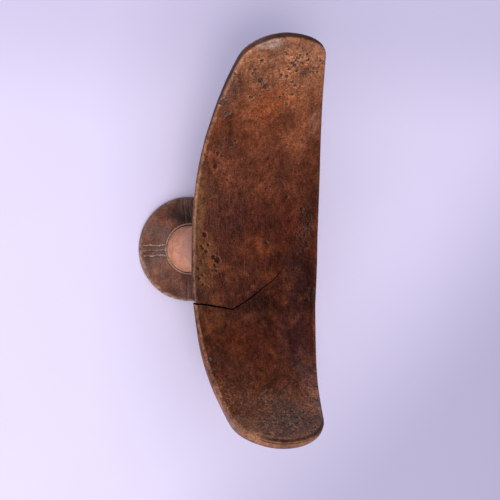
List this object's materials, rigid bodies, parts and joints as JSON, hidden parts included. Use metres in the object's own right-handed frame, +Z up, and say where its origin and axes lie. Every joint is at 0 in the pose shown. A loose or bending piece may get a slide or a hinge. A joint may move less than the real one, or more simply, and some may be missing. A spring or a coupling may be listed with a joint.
{
  "type": "headrest",
  "caption": "Carved wooden pedestal headrest: a long up-curved pillow on a tapering round neck and a flat round foot disc with incised marks.",
  "frame": {"origin": "centre of the foot disc's flat underside, on the axis of the neck", "axes": "+Z up, +X along the pillow towards its longer wing, +Y across the pillow towards the edge where the crack starts"},
  "size_m": [0.2183, 0.0728, 0.1831],
  "materials": {
    "patinated_wood": "dark handled patina with a low, greasy shine",
    "rubbed_wood": "paler wood rubbed smooth",
    "disc_wood": "dull brown patina, dusty in the cuts"
  },
  "bodies": {
    "root": {"pillow": "patinated_wood", "stem": "rubbed_wood", "base": "disc_wood"}
  },
  "joints": []
}
